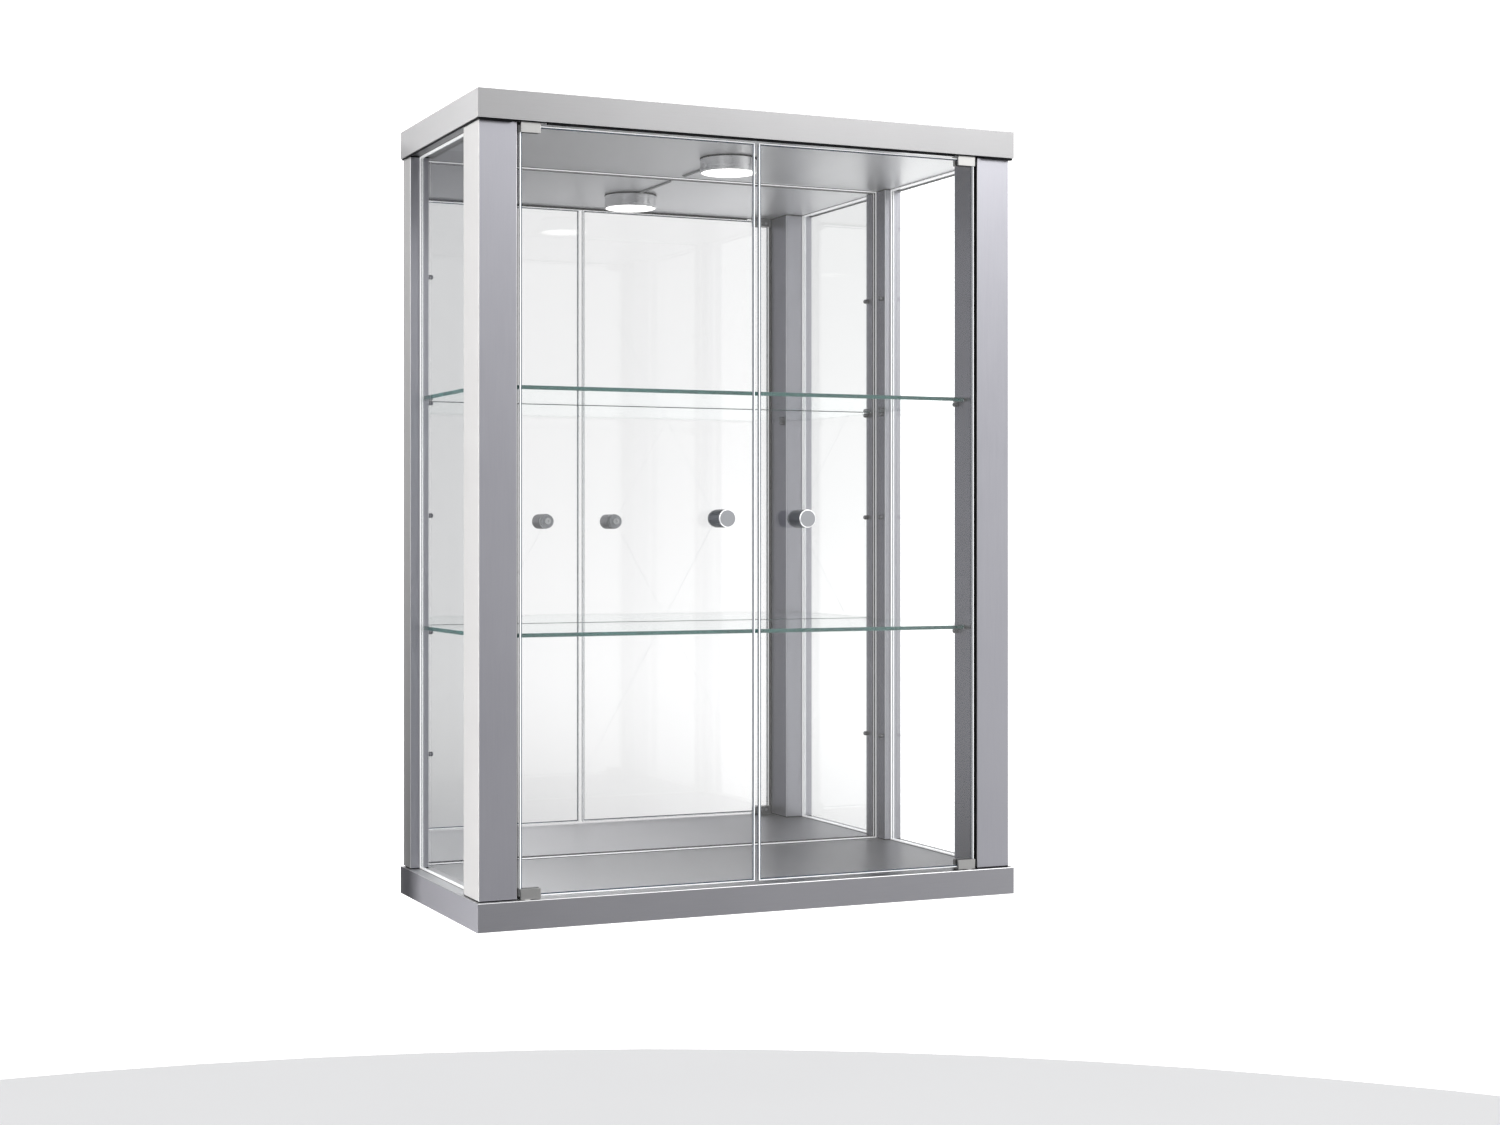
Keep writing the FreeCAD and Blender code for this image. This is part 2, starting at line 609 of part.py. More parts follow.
def knob_screw(side):
    """Pan-head screw from inside the door into the knob."""
    x = side * KNOB_X
    z = above_bottom(KNOB_Z)
    seat = DOOR_Y + GLASS + KNOB_WASHER_H + KNOB_BACK_H
    head = rod(x, seat, z, KNOB_HEAD_R, KNOB_HEAD_H, (0, 1, 0))
    rim = [edge for edge in head.Edges
           if abs(edge.CenterOfMass.y - (seat + KNOB_HEAD_H)) < 0.01 and edge.Length > KNOB_HEAD_R]
    head = head.makeFillet(1.0, rim)
    reach = seat - (DOOR_Y - KNOB_WASHER_H) + KNOB_SCREW_GRIP
    shank = rod(x, seat, z, KNOB_SCREW_R, reach, (0, -1, 0))
    return head.fuse(shank).cut(hex_socket(x, seat + KNOB_HEAD_H, z, 2.5, 1.6))


# ---------------------------------------------------------------- lamp

def lamp_base():
    """Thin dark ring between lamp and board, which shows as a shadow line."""
    y = behind_front(LAMP_Y)
    plate = rod(LAMP_X, y, CEILING, LAMP_BASE_R, LAMP_BASE_H, (0, 0, -1))
    cuts = [lamp_screw(side) for side in SIDES.values()] + [lead_slot()]
    return plate.cut(cuts)


def lamp_housing():
    """Brushed metal cup, open below, with a slot for the lead at the back."""
    y = behind_front(LAMP_Y)
    top = CEILING - LAMP_BASE_H
    low = CEILING - LAMP_HEIGHT
    cup = rod(LAMP_X, y, low, LAMP_R, top - low, (0, 0, 1))
    rims = [edge for edge in cup.Edges if edge.Length > LAMP_R and edge.BoundBox.ZLength < 0.01]
    cup = cup.makeChamfer(0.4, rims)
    cuts = [rod(LAMP_X, y, low - 1, LAMP_R - LAMP_WALL, top - low + 1 - LAMP_WALL, (0, 0, 1)), lead_slot()]
    cuts += [lamp_screw(side) for side in SIDES.values()]
    return cup.cut(cuts)


def lead_slot():
    """Slot through the lamp's rim that clears the lead."""
    half = LEAD_R + LEAD_CLEAR
    y = behind_front(LAMP_Y)
    return box(LAMP_X - half, LAMP_X + half, y + LEAD_START - 1, y + LAMP_R + 1,
               CEILING - 2 * LEAD_R - LEAD_CLEAR, CEILING + 1)


def lamp_diffuser():
    """Opal disc just inside the cup's rim, with a softly domed face."""
    y = behind_front(LAMP_Y)
    low = CEILING - LAMP_HEIGHT + LAMP_LENS_RECESS
    disc = rod(LAMP_X, y, low, LAMP_R - LAMP_WALL, LAMP_LENS_H, (0, 0, 1))
    rim = [edge for edge in disc.Edges if abs(edge.CenterOfMass.z - low) < 0.01 and edge.Length > LAMP_R]
    return disc.makeFillet(0.8, rim)


def led_board_top():
    return CEILING - LAMP_BASE_H - LAMP_WALL


def lamp_led_board():
    """Round circuit board under the cup's top, with a ring of LEDs."""
    y = behind_front(LAMP_Y)
    top = led_board_top()
    plate = rod(LAMP_X, y, top, LED_BOARD_R, LED_BOARD_H, (0, 0, -1))
    holes = [rod(LAMP_X + side * LAMP_SCREW_X, y, top + 1, 4.2, LED_BOARD_H + 2, (0, 0, -1))
             for side in SIDES.values()]
    chips = []
    for step in range(LED_COUNT):
        angle = 2 * math.pi * (step + 0.5) / LED_COUNT
        x = LAMP_X + LED_RING_R * math.cos(angle)
        yy = y + LED_RING_R * math.sin(angle)
        chips.append(box(x - LED_SIZE / 2, x + LED_SIZE / 2, yy - LED_SIZE / 2, yy + LED_SIZE / 2,
                         top - LED_BOARD_H - LED_HEIGHT, top - LED_BOARD_H))
    return fuse([plate] + chips).cut(holes)


def lamp_screw(side):
    """Pan-head screw that holds the cup and its ring under the top board."""
    x = LAMP_X + side * LAMP_SCREW_X
    y = behind_front(LAMP_Y)
    seat = led_board_top()
    head = rod(x, y, seat, 3.4, 2.0, (0, 0, -1))
    return head.fuse(rod(x, y, seat, LAMP_SCREW_R, 16.0, (0, 0, 1)))


def lamp_screws():
    return Part.makeCompound([lamp_screw(side) for side in SIDES.values()])


# ---------------------------------------------------------------- lamp lead

def lead_end():
    """Where the lead enters its socket: (y, z)."""
    bend = math.radians(LEAD_BEND_DEG)
    return (behind_front(LEAD_DIVE) + 2 * LEAD_BEND_R * math.sin(bend),
            CEILING - LEAD_R + 2 * LEAD_BEND_R * (1 - math.cos(bend)))


def lead_tube(radius):
    """The lead along the underside of the board, then up through it in an S bend."""
    start = FreeCAD.Vector(LAMP_X, behind_front(LAMP_Y) + LEAD_START, CEILING - LEAD_R)
    dive = FreeCAD.Vector(LAMP_X, behind_front(LEAD_DIVE), CEILING - LEAD_R)
    end_y, end_z = lead_end()
    end = FreeCAD.Vector(LAMP_X, end_y, end_z)

    def bend_point(centre, degrees):
        angle = math.radians(degrees)
        return centre + FreeCAD.Vector(0, LEAD_BEND_R * math.cos(angle), LEAD_BEND_R * math.sin(angle))

    lower = dive + FreeCAD.Vector(0, 0, LEAD_BEND_R)
    upper = end - FreeCAD.Vector(0, 0, LEAD_BEND_R)
    middle = bend_point(lower, LEAD_BEND_DEG - 90)
    edges = [
        Part.LineSegment(start, dive).toShape(),
        Part.Arc(dive, bend_point(lower, LEAD_BEND_DEG / 2 - 90), middle).toShape(),
        Part.Arc(middle, bend_point(upper, 90 + LEAD_BEND_DEG / 2), end).toShape()]
    path = Part.Wire(edges)
    section = Part.Wire(Part.Circle(start, FreeCAD.Vector(0, 1, 0), radius).toShape())
    return path.makePipeShell([section], True, True)


def lead_socket_block(grow, beyond):
    """Block of the socket at the lead's end, grown for its pocket and run out past the wall plane."""
    y, z = lead_end()
    half_w = PLUG_W / 2 + grow
    half_h = PLUG_H / 2 + grow
    return box(LAMP_X - half_w, LAMP_X + half_w, y, beyond, z - half_h, z + half_h)


def lead_socket():
    """Two-pole socket flush with the board's rear edge, where a supply lead plugs in."""
    y, z = lead_end()
    body = lead_socket_block(0.0, 0.0)
    opening = box(LAMP_X - 4.2, LAMP_X + 4.2, -5.0, 1, z - 2.4, z + 2.4)
    pins = [rod(LAMP_X + side * 2.0, -5.0, z, 0.5, 4.0, (0, 1, 0)) for side in SIDES.values()]
    return fuse([body.cut(opening)] + pins)


def build_nodes():
    nodes = {
        "top_board": top_board(),
        "bottom_board": bottom_board(),
        "mirror": mirror(),
        "back_panel": back_panel(),
        "back_panel_screws": Part.makeCompound(
            [panel_screw(side, row) for side in SIDES.values() for row in PANEL_SCREW_ROWS]),
        "corner_screws": corner_screws(),
        "corner_dowels": corner_dowels(),
        "screw_caps": screw_caps(),
        "wall_hanger_screws": wall_hanger_screws(),
        "shelf_pins": shelf_pins(),
        "shelf_lower": shelf(SHELF_ROWS[0]),
        "shelf_upper": shelf(SHELF_ROWS[1]),
        "lamp_base": lamp_base(),
        "lamp_housing": lamp_housing(),
        "lamp_diffuser": lamp_diffuser(),
        "lamp_led_board": lamp_led_board(),
        "lamp_screws": lamp_screws(),
        "lamp_lead": lead_tube(LEAD_R),
        "lead_socket": lead_socket()}
    makers = {
        "front_post": front_post, "rear_post": rear_post, "side_glass": side_glass,
        "side_glass_seals": side_glass_seals, "wall_hanger": wall_hanger, "door_glass": door_glass,
        "hinge_pins": hinge_pins, "hinge_bushes": hinge_bushes, "hinge_pads": hinge_pads,
        "hinge_set_screws": hinge_set_screws, "knob": knob, "knob_washers": knob_washers,
        "knob_backplate": knob_backplate, "knob_screw": knob_screw}
    for name, side in SIDES.items():
        for part, make in makers.items():
            nodes[part + "_" + name] = make(side)
        nodes["hinge_clamp_top_" + name] = hinge_clamp(side, True)
        nodes["hinge_clamp_bottom_" + name] = hinge_clamp(side, False)
    return nodes


os.makedirs("parts", exist_ok=True)
for node, shape in build_nodes().items():
    solids = shape.Solids
    valid = shape.isValid() and all(solid.isClosed() for solid in solids)
    print(f"{node:24s} solids {len(solids):3d}  volume {shape.Volume:12.1f}  valid {valid}")
    shape.exportStep(os.path.join("parts", node + ".step"))
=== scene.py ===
"""Looks of the wall mounted showcase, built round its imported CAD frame. Metres, row frame."""
import bmesh
import bpy
import json
import math
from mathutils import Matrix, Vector


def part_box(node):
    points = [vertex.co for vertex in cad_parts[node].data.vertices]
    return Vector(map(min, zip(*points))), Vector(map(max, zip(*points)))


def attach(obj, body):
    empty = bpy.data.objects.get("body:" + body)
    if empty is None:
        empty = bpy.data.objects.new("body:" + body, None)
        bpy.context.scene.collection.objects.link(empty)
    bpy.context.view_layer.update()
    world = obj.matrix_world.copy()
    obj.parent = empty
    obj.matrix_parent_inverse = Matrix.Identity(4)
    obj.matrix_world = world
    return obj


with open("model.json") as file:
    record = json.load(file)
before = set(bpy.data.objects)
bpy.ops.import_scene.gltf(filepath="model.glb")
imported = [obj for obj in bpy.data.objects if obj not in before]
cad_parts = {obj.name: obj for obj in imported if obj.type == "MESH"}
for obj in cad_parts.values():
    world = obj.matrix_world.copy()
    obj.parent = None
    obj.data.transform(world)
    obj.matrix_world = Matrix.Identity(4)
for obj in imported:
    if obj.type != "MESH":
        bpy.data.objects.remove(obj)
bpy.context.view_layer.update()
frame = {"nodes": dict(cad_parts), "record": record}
nodes = frame["nodes"]
MM = 0.001
X, Y, Z = 0, 1, 2
WHITE = (1.0, 1.0, 1.0)


# ---------------------------------------------------------------- node graph helpers

class Graph:
    """A material's node tree with short calls for the nodes used here."""

    def __init__(self, name):
        self.material = bpy.data.materials.new(name)
        self.material.use_nodes = True
        self.tree = self.material.node_tree
        self.tree.nodes.clear()
        self.out = self.tree.nodes.new("ShaderNodeOutputMaterial")
        self.coords = self.tree.nodes.new("ShaderNodeTexCoord")

    def add(self, kind, inputs=None, **settings):
        node = self.tree.nodes.new("ShaderNode" + kind)
        for key, value in settings.items():
            setattr(node, key, value)
        for key, value in (inputs or {}).items():
            self.feed(node.inputs[key], value)
        return node

    def feed(self, socket, value):
        if isinstance(value, bpy.types.NodeSocket):
            self.tree.links.new(value, socket)
        elif isinstance(value, (tuple, list)) and socket.type == "RGBA" and len(value) == 3:
            socket.default_value = (*value, 1.0)
        else:
            socket.default_value = value

    def math(self, operation, a, b=0.0):
        return self.add("Math", {0: a, 1: b}, operation=operation).outputs[0]

    def spread(self, value, low, high, to_low, to_high):
        return self.add("MapRange", {"Value": value, "From Min": low, "From Max": high,
                                     "To Min": to_low, "To Max": to_high}, clamp=True).outputs[0]

    def noise(self, scale, stretch=(1, 1, 1), detail=3.0, rough=0.5):
        place = self.add("Mapping", {"Vector": self.coords.outputs["Object"], "Scale": stretch}).outputs[0]
        return self.add("TexNoise", {"Vector": place, "Scale": scale, "Detail": detail,
                                     "Roughness": rough}).outputs[0]

    def blend(self, factor, first, second):
        node = self.add("Mix", data_type="RGBA")
        self.feed(node.inputs[0], factor)
        self.feed(node.inputs[6], first)
        self.feed(node.inputs[7], second)
        return node.outputs[2]

    def bump(self, height, strength, distance):
        return self.add("Bump", {"Height": height, "Strength": strength, "Distance": distance}).outputs[0]

    def mix(self, factor, first, second):
        node = self.add("MixShader")
        self.feed(node.inputs[0], factor)
        self.feed(node.inputs[1], first)
        self.feed(node.inputs[2], second)
        return node.outputs[0]

    def principled(self, **inputs):
        names = {key.replace("_", " "): value for key, value in inputs.items()}
        return self.add("BsdfPrincipled", names).outputs[0]

    def place(self):
        """X, Y and Z of a point on the object, in its own frame."""
        return self.add("SeparateXYZ", {0: self.coords.outputs["Object"]}).outputs

    def normal(self):
        """X, Y and Z of the surface's own normal, in the object's frame."""
        return self.add("SeparateXYZ", {0: self.coords.outputs["Normal"]}).outputs

    def along(self, axis):
        """How far the surface's own normal lies along one of the object's axes, 0 to 1."""
        return self.math("ABSOLUTE", self.normal()[axis])

    def arris(self):
        """1 on broken edges, whose normal lies between the object's axes, and 0 on its flat faces."""
        x, y, z = [self.math("ABSOLUTE", side) for side in self.normal()]
        most = self.math("MAXIMUM", self.math("MAXIMUM", x, y), z)
        return self.spread(most, 0.90, 0.985, 1.0, 0.0)

    def done(self, shader):
        self.tree.links.new(shader, self.out.inputs["Surface"])
        return self.material


FLAT = 0.95     # a normal's share of one axis, above which a face looks along it
INNER_LEFT, INNER_RIGHT = -0.27, 0.15     # between these X the painted light and shade of the boards' inner faces changes
POST_SIDE = 0.24     # all side faces of the posts lie further out than this
FOIL_DARK, FOIL_MID, FOIL_GRAIN, FOIL_FLAKE = 0.312, 0.332, 0.370, 0.42
FOIL_OUTSIDE = (0.337, 0.335, 0.336)     # the posts' outward faces in their lit tone, without the painted cool shade of the others
# broken edges of the foil, painted lighter as a highlight
FOIL_EDGE_HIGHLIGHT = (0.84, 0.845, 0.855)


def foil(name, axis, cool, depth=1.0, grazing=0.75, inner=None, ends=1.0, lit=0.0):
    """Satin silver decor foil, its faint grain running along one axis.

    cool is how far its blue stands over its red, a painted cool shade that a post's outward faces go
    without, and depth scales its tones. inner describes a board's face inside the showcase: which way it
    looks along Z, and its tone at the left and right, painted light and shade across it. Foil without it is
    a post's. ends scales the tone of a board's end faces or a post's inward face as painted shade, grazing
    tints what the foil reflects at low angles, and lit makes broken edges glow a little, a painted
    highlight.
    """
    def grey(value):
        return (value * depth, value * depth, (value + cool) * depth)

    g = Graph(name)
    stretch = [1.0, 1.0, 1.0]
    stretch[axis] = 0.03
    grain = g.noise(900.0, stretch, 4.0, 0.6)
    cloud = g.noise(9.0, detail=2.0)
    flake = g.noise(4200.0, detail=1.0)
    tone = g.blend(g.spread(cloud, 0.3, 0.7, 0.0, 1.0), grey(FOIL_DARK), grey(FOIL_MID))
    tone = g.blend(g.spread(grain, 0.3, 0.7, 0.0, 0.35), tone, grey(FOIL_GRAIN))
    tone = g.blend(g.spread(flake, 0.45, 0.75, 0.0, 0.25), tone, grey(FOIL_FLAKE))
    normal, across = g.normal(), g.place()[X]
    # Painted light and shade: a board's inner face runs from its left tone to its right tone, and its end
    # faces take the darker end tone.
    if inner:
        way, left, right = inner
        shade = g.blend(g.spread(across, INNER_LEFT, INNER_RIGHT, 0.0, 1.0), grey(left), grey(right))
        inside = g.math("GREATER_THAN", g.math("MULTIPLY", normal[Z], way), FLAT)
        tone = g.blend(inside, tone, shade)
        tone = g.blend(g.math("GREATER_THAN", g.along(X), FLAT), tone, grey(FOIL_MID * ends))
    else:
        # Painted shade on a post's inward face; its outward faces take the lit tone without the painted cool
        # shade.
        away = g.math("MULTIPLY", across, normal[X])
        tone = g.blend(g.math("LESS_THAN", away, -POST_SIDE), tone, grey(FOIL_MID * ends))
        tone = g.blend(g.math("GREATER_THAN", away, POST_SIDE), tone, FOIL_OUTSIDE)
    # Broken edges painted lighter, a painted highlight, and glowing where lit is set.
    arris = g.arris()
    tone = g.blend(arris, tone, FOIL_EDGE_HIGHLIGHT)
    glow = g.math("MULTIPLY", arris, lit) if lit else 0.0
    shine = g.spread(grain, 0.3, 0.7, 0.33, 0.40)
    return g.done(g.principled(Base_Color=tone, Metallic=0.88, Roughness=shine,
                               Coat_Weight=0.05, Coat_Roughness=0.25,
                               Specular_Tint=(grazing, grazing, grazing),
                               Emission_Color=WHITE, Emission_Strength=glow,
                               Normal=g.bump(grain, 0.06, 0.0004)))


def clear_body(g, tint, other):
    """Real glass that bends what is seen through it, and lets the lamps' light pass straight in."""
    cloud = g.spread(g.noise(8.0, (1, 1, 0.4), 2.0), 0.35, 0.65, 0.0, 1.0)
    glass = g.principled(Base_Color=g.blend(cloud, tint, other), Roughness=0.0, IOR=1.5,
                         Transmission_Weight=1.0)
    shadow = g.add("LightPath").outputs["Is Shadow Ray"]
    return g.mix(shadow, glass, g.add("BsdfTransparent", {"Color": tint}).outputs[0])


def absorb(g, colour, density):
    """Tints what lies behind the glass by the way that light goes through it."""
    volume = g.add("VolumeAbsorption", {"Color": colour, "Density": density})
    g.tree.links.new(volume.outputs[0], g.out.inputs["Volume"])


PAINTED_HIGHLIGHT_BAND, PAINTED_DARK_BAND = 1.3 * MM, 2.2 * MM     # painted highlight band and painted dark band round a door glass's faces
EDGE_TURN, FACE_TURN = 0.3, 0.97     # a normal's share across the pane: an edge is below, a face above


def pane(name, axis, colour, density, edge, border=None, glow=0.0):
    """Float glass: clear faces across one axis, tinted polished edges, and pale ground arrises, which glow
    as a painted highlight where glow is set.

    border gives the distance to a pane's nearest edge, for panes whose faces get a painted highlight band at
    the very edge and a painted dark band just inside it.
    """
    g = Graph(name)
    flat = g.along(axis)
    cloud = g.noise(90.0, detail=2.0)
    body = clear_body(g, (0.994, 0.995, 0.996), (0.998, 0.998, 0.999))
    polished = g.principled(Base_Color=g.blend(cloud, edge, tuple(c * 1.25 for c in edge)), Roughness=0.12)
    ground = g.principled(Base_Color=g.blend(cloud, (0.93, 0.95, 0.95), (0.86, 0.89, 0.89)), Roughness=0.35,
                          Emission_Color=WHITE, Emission_Strength=glow)
    body = g.mix(g.math("MULTIPLY", g.math("LESS_THAN", flat, EDGE_TURN), 0.8), body, polished)
    bevel = g.math("MULTIPLY", g.math("GREATER_THAN", flat, EDGE_TURN), g.math("LESS_THAN", flat, FACE_TURN))
    # Painted lines along a pane's edges on its faces: a dark band in the polished edge's tint, painted
    # shade, and a pale glowing band at the very edge, a painted highlight.
    if border:
        away, face = border(g), g.math("GREATER_THAN", flat, FACE_TURN)
        body = g.mix(g.math("MULTIPLY", face, g.math("LESS_THAN", away, PAINTED_DARK_BAND)), body, polished)
        band = g.math("MULTIPLY", face, g.math("LESS_THAN", away, PAINTED_HIGHLIGHT_BAND))
        bevel = g.math("MAXIMUM", bevel, band)
    absorb(g, colour, density)
    return g.done(g.mix(bevel, body, ground))


def door_border(g):
    """Distance of a point to its door glass's nearest edge."""
    low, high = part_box("door_glass_right")
    x, _, z = g.place()
    x = g.math("ABSOLUTE", x)
    sideways = g.math("MINIMUM", g.math("SUBTRACT", x, low.x), g.math("SUBTRACT", high.x, x))
    upright = g.math("MINIMUM", g.math("SUBTRACT", z, low.z), g.math("SUBTRACT", high.z, z))
    return g.math("MINIMUM", sideways, upright)


def mirror_glass():
    """Silvered glass: clear in front and at its edges, with the silver on its back face."""
    g = Graph("mirror_silvered")
    haze = g.spread(g.noise(3.0, (1, 1, 0.5), 2.0), 0.4, 0.8, 0.0, 0.008)
    silver = g.principled(Base_Color=(0.952, 0.952, 0.955), Metallic=1.0, Roughness=haze)
    body = clear_body(g, (0.996, 0.996, 0.997), (0.999, 0.999, 1.0))
    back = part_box("mirror")[1].y - 0.1 * MM
    return g.done(g.mix(g.math("GREATER_THAN", g.place()[Y], back), body, silver))


MARK_STRETCH = 0.01     # the scale of marks along the way they run, so that they are drawn out


def brushed(name, colour, rough, metallic=1.0, around=None, grain=1400.0, strength=0.12, glow=0.0):
    """Brushed or turned metal; around is the axis that the marks run round, or None for a plain grain."""
    g = Graph(name)
    stretch = (1, 1, 1)
    if around is not None:
        stretch = [MARK_STRETCH] * 3
        stretch[around] = 1.0
    marks = g.noise(grain, stretch, 3.0, 0.6)
    cloud = g.noise(120.0)
    dark = tuple(c * 0.93 for c in colour)
    tone = g.blend(g.spread(marks, 0.3, 0.7, 0.0, 1.0), dark, colour)
    mottle = g.math("ADD", marks, g.math("MULTIPLY", cloud, 0.4))
    shine = g.spread(mottle, 0.4, 1.0, rough * 0.85, rough * 1.2)
    return g.done(g.principled(Base_Color=tone, Metallic=metallic, Roughness=shine,
                               Emission_Color=WHITE, Emission_Strength=glow,
                               Normal=g.bump(marks, strength, 0.0002)))


def turned(name, axis, disc, barrel, ring):
    """Turned aluminium: brushed disc across the axis, a barrel round it painted darker as shade, and a
    bright cut chamfer between, lighter still and glowing as a painted highlight.
    """
    g = Graph(name)
    across = g.along(axis)
    stretch = [MARK_STRETCH] * 3
    stretch[axis] = 1.0
    marks = g.noise(1500.0, stretch, 3.0, 0.6)
    streak = g.spread(marks, 0.3, 0.7, 0.90, 1.06)
    tone = g.blend(g.math("GREATER_THAN", across, 0.9), barrel, disc)
    chamfer = g.math("MULTIPLY", g.math("GREATER_THAN", across, 0.25), g.math("LESS_THAN", across, 0.92))
    tone = g.blend(chamfer, tone, ring)
    tone = g.blend(g.spread(marks, 0.3, 0.7, 0.0, 0.12), tone, (0.2, 0.2, 0.21))
    return g.done(g.principled(Base_Color=tone, Metallic=1.0, Roughness=g.math("MULTIPLY", streak, 0.36),
                               Emission_Color=WHITE, Emission_Strength=g.math("MULTIPLY", chamfer, 0.55),
                               Normal=g.bump(marks, 0.08, 0.0002)))


def moulded(name, colour, rough, gloss=0.5):
    """Plain plastic or rubber with a fine moulded grain."""
    g = Graph(name)
    grain = g.noise(900.0, detail=2.0)
    cloud = g.noise(60.0)
    light = tuple(min(1.0, c * 1.08 + 0.004) for c in colour)
    tone = g.blend(g.spread(cloud, 0.35, 0.65, 0.0, 1.0), colour, light)
    shine = g.spread(grain, 0.3, 0.7, rough * 0.9, rough * 1.1)
    return g.done(g.principled(Base_Color=tone, Roughness=shine, Specular_IOR_Level=gloss,
                               Normal=g.bump(grain, 0.15, 0.0002)))


def hardboard():
    """White-faced hardboard with a fine fibrous grain."""
    g = Graph("back_hardboard")
    fibre = g.noise(700.0, (1, 1, 0.25), 5.0, 0.65)
    cloud = g.noise(7.0)
    tone = g.blend(g.spread(cloud, 0.35, 0.65, 0.0, 1.0), (0.50, 0.485, 0.455), (0.55, 0.535, 0.50))
    tone = g.blend(g.spread(fibre, 0.45, 0.75, 0.0, 0.5), tone, (0.42, 0.40, 0.365))
    return g.done(g.principled(Base_Color=tone, Roughness=0.75, Normal=g.bump(fibre, 0.2, 0.0004)))


def beech():
    """Beech with its grain along the dowel."""
    g = Graph("dowel_beech")
    rings = g.noise(260.0, (1, 1, 0.06), 5.0, 0.6)
    tone = g.blend(g.spread(rings, 0.3, 0.7, 0.0, 1.0), (0.50, 0.33, 0.19), (0.68, 0.50, 0.33))
    return g.done(g.principled(Base_Color=tone, Roughness=0.6, Normal=g.bump(rings, 0.2, 0.0003)))


def opal():
    """Opal lamp lens, lit from behind and a little brighter over its ring of LEDs."""
    g = Graph("lamp_opal_lens")
    low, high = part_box("lamp_diffuser")
    centre = (low + high) / 2
    place = g.add("Mapping", {"Vector": g.coords.outputs["Object"],
                              "Location": (-centre.x, -centre.y, -centre.z)}).outputs[0]
    away = g.add("VectorMath", {0: place}, operation="LENGTH").outputs["Value"]
    glow = g.blend(g.spread(away, 0.018, 0.029, 0.0, 1.0), (1.0, 0.99, 0.96), (0.82, 0.81, 0.78))
    return g.done(g.principled(Base_Color=glow, Roughness=0.4, Emission_Color=glow, Emission_Strength=2.6))


def circuit():
    """White lacquered circuit board."""
    g = Graph("lamp_circuit")
    mask = g.spread(g.noise(500.0), 0.45, 0.55, 0.0, 1.0)
    tone = g.blend(mask, (0.82, 0.83, 0.80), (0.90, 0.90, 0.87))
    return g.done(g.principled(Base_Color=tone, Roughness=0.4))


def clear_plastic():
    """Clear plastic of the knobs' washers, a little cloudy."""
    g = Graph("washer_clear")
    cloud = g.noise(200.0)
    body = g.principled(Base_Color=g.blend(cloud, (0.78, 0.81, 0.82), (0.88, 0.90, 0.90)), Roughness=0.15)
    return g.done(g.mix(0.55, body, g.add("BsdfTransparent", {"Color": (0.95, 0.96, 0.96)}).outputs[0]))


FINISHES = {
    "mirror_glass": mirror_glass(),
    "back_board": hardboard(),
    "zinc_steel": brushed("zinc_plated_steel", (0.62, 0.63, 0.64), 0.32, grain=700.0),
    "beech": beech(),
    "grey_plastic": moulded("cap_grey", (0.36, 0.365, 0.38), 0.45),
    "pin_metal": brushed("pin_dark_nickel", (0.13, 0.13, 0.14), 0.30, grain=900.0),
    "clear_seal": moulded("seal_pvc", (0.86, 0.87, 0.89), 0.30),
    "satin_nickel": brushed("clamp_satin_nickel", (0.36, 0.36, 0.355), 0.32, around=X, grain=1600.0),
    "liner_rubber": moulded("liner_black", (0.03, 0.03, 0.032), 0.6),
    "white_nylon": moulded("bush_nylon", (0.80, 0.80, 0.77), 0.45),
    "knob_aluminium": turned("knob_turned", Y, (0.36, 0.37, 0.39), (0.11, 0.115, 0.13), (0.95, 0.95, 0.96)),
    "clear_plastic": clear_plastic(),
    "lamp_metal": brushed("lamp_brushed_steel", (0.84, 0.84, 0.85), 0.25, around=Z, strength=0.01),
    "black_plastic": moulded("plastic_black", (0.02, 0.02, 0.021), 0.4),
    "lamp_opal": opal(),
    "led_board": circuit(),
    "lead_sheath": moulded("lead_pvc_grey", (0.30, 0.30, 0.31), 0.40),
}
# One foil in three copies, toned apart by painted light and shade: each board's inner face has its own
# painted gradient, the boards are toned darker than the posts, the bottom board's end faces darker still and
# its low-angle reflections dimmer, and its broken edges glow as a painted highlight.
FOILS = {
    "top_board": foil("foil_silver_top", X, cool=0.006, depth=0.83, grazing=0.95, inner=(-1, 0.26, 1.14),
                      ends=0.96),
    "bottom_board": foil("foil_silver_bottom", X, cool=0.024, depth=0.82, grazing=0.6, inner=(1, 0.90, 0.29),
                         ends=0.70, lit=0.5),
    "post": foil("foil_silver_post", Z, cool=0.032, depth=0.97, ends=0.53),
}
# The door glass's near-black slate edges are painted shade and its arrises glow as a painted highlight; the
# side and shelf edges keep the glass's own green tint.
PANES = {
    "side": pane("glass_side", X, (0.45, 0.88, 0.80), 4.0, edge=(0.30, 0.38, 0.38)),
    "door": pane("glass_door", Y, (0.70, 0.82, 0.90), 4.0, edge=(0.06, 0.08, 0.11), border=door_border,
                 glow=0.45),
    "shelf": pane("glass_shelf", Z, (0.05, 0.45, 0.38), 11.0, edge=(0.025, 0.10, 0.09)),
}


def finish_of(node, slot):
    """The material of a CAD node in one of the record's material slots."""
    if slot == "silver_board":
        return FOILS.get(node, FOILS["post"])
    if slot == "clear_glass":
        return PANES[next(kind for kind in PANES if kind in node)]
    return FINISHES[slot]


for part in frame["record"]["subparts"]:
    material = finish_of(part["node"], part["material_slot"])
    for holder in nodes[part["node"]].material_slots:
        holder.material = material


# ---------------------------------------------------------------- softened edges of CAD nodes

WELD = 0.01 * MM
GLASS_GAP = 0.05 * MM     # keeps glass off what it touches, so that their faces don't coincide
SHARP = math.radians(35.0)


